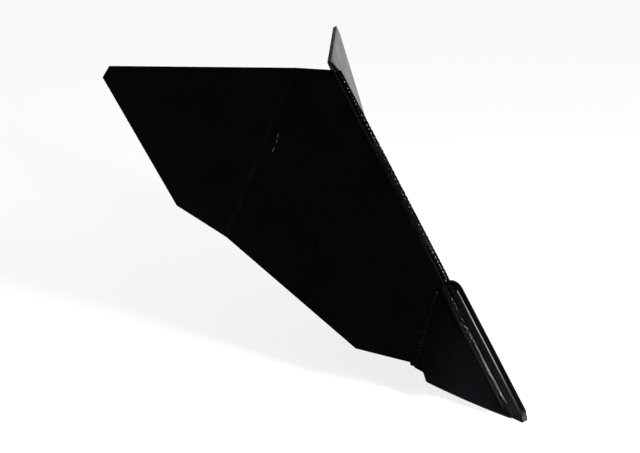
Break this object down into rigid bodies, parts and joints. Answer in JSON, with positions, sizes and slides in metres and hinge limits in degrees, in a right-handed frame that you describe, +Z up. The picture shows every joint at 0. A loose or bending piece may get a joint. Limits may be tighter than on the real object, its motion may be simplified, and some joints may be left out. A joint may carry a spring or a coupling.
{
  "type": "tiller ridger",
  "caption": "V-shaped ridging body for a tiller: bent mouldboards welded along a raked ridge, with a point bar, share plates and a bolted tine plate inside.",
  "frame": {"origin": "middle of the tine plate's rear seat face, halfway between its two bolt holes", "axes": "+Z up, travel towards -Y, +X to the left of travel"},
  "size_m": [0.3636, 0.4814, 0.3208],
  "materials": {
    "black_plate": "gloss black paint over cut steel plate",
    "weld_bead": "gloss black paint over rippled weld"
  },
  "bodies": {
    "root": {"back_weld_left": "weld_bead", "back_weld_right": "weld_bead", "bar_weld_left": "weld_bead", "bar_weld_right": "weld_bead", "cross_stay": "black_plate", "point_bar": "black_plate", "ridge_weld": "weld_bead", "seam_weld_left": "weld_bead", "seam_weld_right": "weld_bead", "share_left": "black_plate", "share_right": "black_plate", "stay_front_weld_left": "weld_bead", "stay_front_weld_right": "weld_bead", "stay_weld_left": "weld_bead", "stay_weld_right": "weld_bead", "tine_plate": "black_plate", "tine_weld_left": "weld_bead", "tine_weld_right": "weld_bead", "wing_left": "black_plate", "wing_right": "black_plate"}
  },
  "joints": []
}
